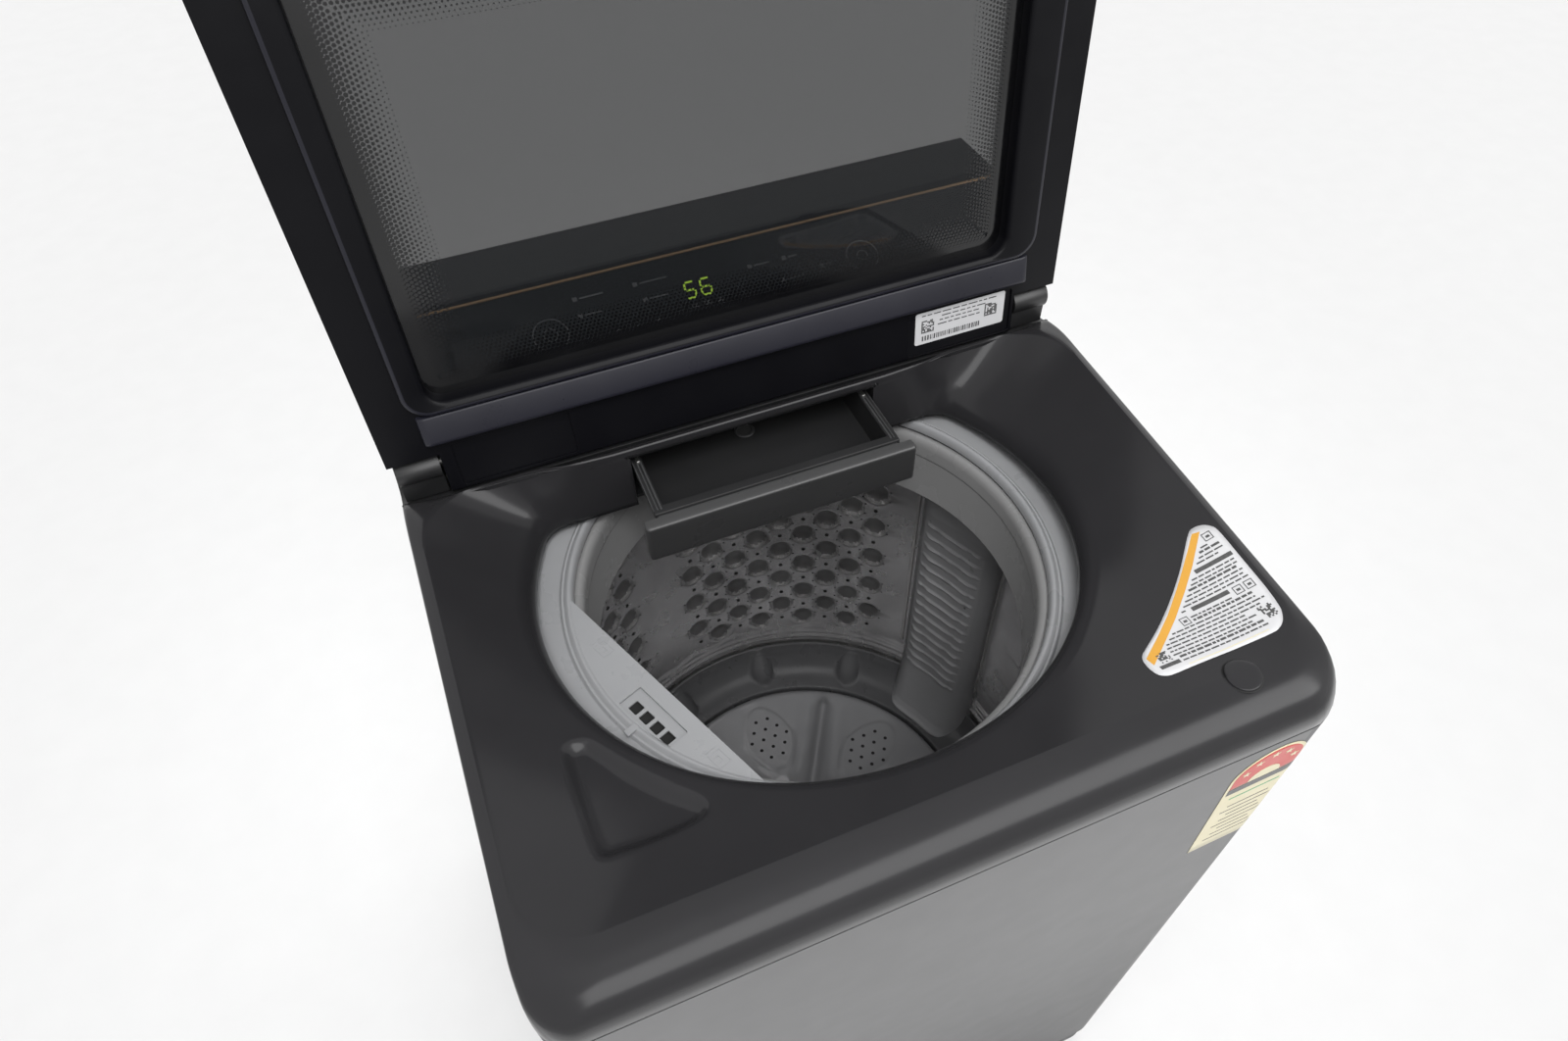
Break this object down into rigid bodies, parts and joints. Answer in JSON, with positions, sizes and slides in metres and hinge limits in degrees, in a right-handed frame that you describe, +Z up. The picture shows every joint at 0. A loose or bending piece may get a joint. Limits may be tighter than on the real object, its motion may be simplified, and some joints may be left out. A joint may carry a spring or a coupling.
{
  "type": "top load washing machine",
  "caption": "Top-loading washing machine with a sloping sunken deck, hinged glass lid, pull-out detergent drawer, spinning steel basket and pulsator in a hanging tub.",
  "frame": {"origin": "on the floor under the middle of the cabinet footprint", "axes": "+Z up, +X to the right seen from the front, +Y to the back"},
  "size_m": [0.59, 0.606, 1.3417],
  "materials": {
    "cabinet_metal": "satin",
    "back_metal": "satin",
    "deck_plastic": "gloss",
    "base_plastic": "matte",
    "lid_plastic": "satin",
    "black_plastic": "matte",
    "panel_glass": "gloss",
    "lid_glass": "clear tinted",
    "trim_metal": "brushed bronze",
    "board_green": "matte",
    "rubber": "matte",
    "zinc_steel": "zinc plated",
    "spring_steel": "oiled",
    "valve_blue": "matte",
    "valve_red": "matte",
    "tub_plastic": "satin",
    "cover_plastic": "satin",
    "ring_plastic": "satin",
    "cast_housing": "cast",
    "bearing_steel": "polished",
    "copper_coils": "varnished",
    "drum_steel": "polished",
    "basket_plastic": "satin",
    "filter_plastic": "satin",
    "pulsator_plastic": "satin",
    "chrome": "polished",
    "rotor_steel": "zinc plated",
    "bush_plastic": "matte",
    "drawer_plastic": "satin"
  },
  "bodies": {
    "cabinet": {"base_frame": "base_plastic", "foot_front_left": "rubber", "foot_front_right": "rubber", "foot_rear_left": "rubber", "foot_rear_right": "rubber", "lock_nuts": "zinc_steel", "cabinet_wrap": "cabinet_metal", "back_panel": "back_metal", "corner_brackets": "zinc_steel", "top_cover": "deck_plastic", "drawer_housing": "deck_plastic", "console_housing": "deck_plastic", "console_panel": "panel_glass", "trim_strip": "trim_metal", "control_board": "board_green", "hinge_damper_left": "black_plastic", "hinge_damper_right": "black_plastic", "hinge_pins": "zinc_steel", "lid_sensor_cap": "black_plastic", "inlet_valve_cold": "valve_blue", "inlet_valve_hot": "valve_red", "drain_outlet": "base_plastic", "cable_gland": "rubber", "rod_front_left": "zinc_steel", "rod_front_right": "zinc_steel", "rod_rear_left": "zinc_steel", "rod_rear_right": "zinc_steel", "spring_front_left": "spring_steel", "spring_front_right": "spring_steel", "spring_rear_left": "spring_steel", "spring_rear_right": "spring_steel"},
    "tub": {"outer_tub": "tub_plastic", "tub_lugs": "tub_plastic", "tub_cover": "cover_plastic", "jet_cover": "cover_plastic", "bearing_housing": "cast_housing", "bearings": "bearing_steel", "stator": "copper_coils", "drain_pump": "base_plastic"},
    "basket": {"drum": "drum_steel", "drum_base": "basket_plastic", "balance_ring": "ring_plastic", "lint_filter_right": "filter_plastic", "lint_filter_left": "filter_plastic", "drum_hub": "cast_housing"},
    "pulsator": {"pulsator": "pulsator_plastic", "pulsator_cap": "chrome", "wash_shaft": "bearing_steel", "rotor": "rotor_steel"},
    "lid": {"lid_inner_frame": "lid_plastic", "lid_glass": "lid_glass", "lid_outer_frame": "lid_plastic", "hinge_bushes": "bush_plastic", "lid_bumpers": "rubber"},
    "drawer": {"drawer_tray": "black_plastic", "drawer_front": "drawer_plastic", "drawer_clips": "zinc_steel"}
  },
  "joints": [
    {"name": "lid_hinge", "type": "hinge", "parent": "cabinet", "child": "lid", "pos_m": [0, 0.125, 0.954], "axis": [1, 0, 0], "range_deg": [0, 99.3]},
    {"name": "drawer_slide", "type": "slide", "parent": "cabinet", "child": "drawer", "axis": [0, 1, 0], "range_m": [0, 0.0575]},
    {"name": "tub_suspension", "type": "slide", "parent": "cabinet", "child": "tub", "axis": [0, 0, 1], "range_m": [-0.02, 0.003], "stiffness_N_per_m": 14000, "springref_m": 0.02467, "deforming": ["spring_front_left", "spring_front_right", "spring_rear_left", "spring_rear_right"]},
    {"name": "basket_spin", "type": "hinge", "parent": "tub", "child": "basket", "pos_m": [0, -0.016, 0.3], "axis": [0, 0, 1], "continuous": true},
    {"name": "pulsator_spin", "type": "hinge", "parent": "basket", "child": "pulsator", "pos_m": [0, -0.016, 0.3], "axis": [0, 0, 1], "continuous": true}
  ]
}
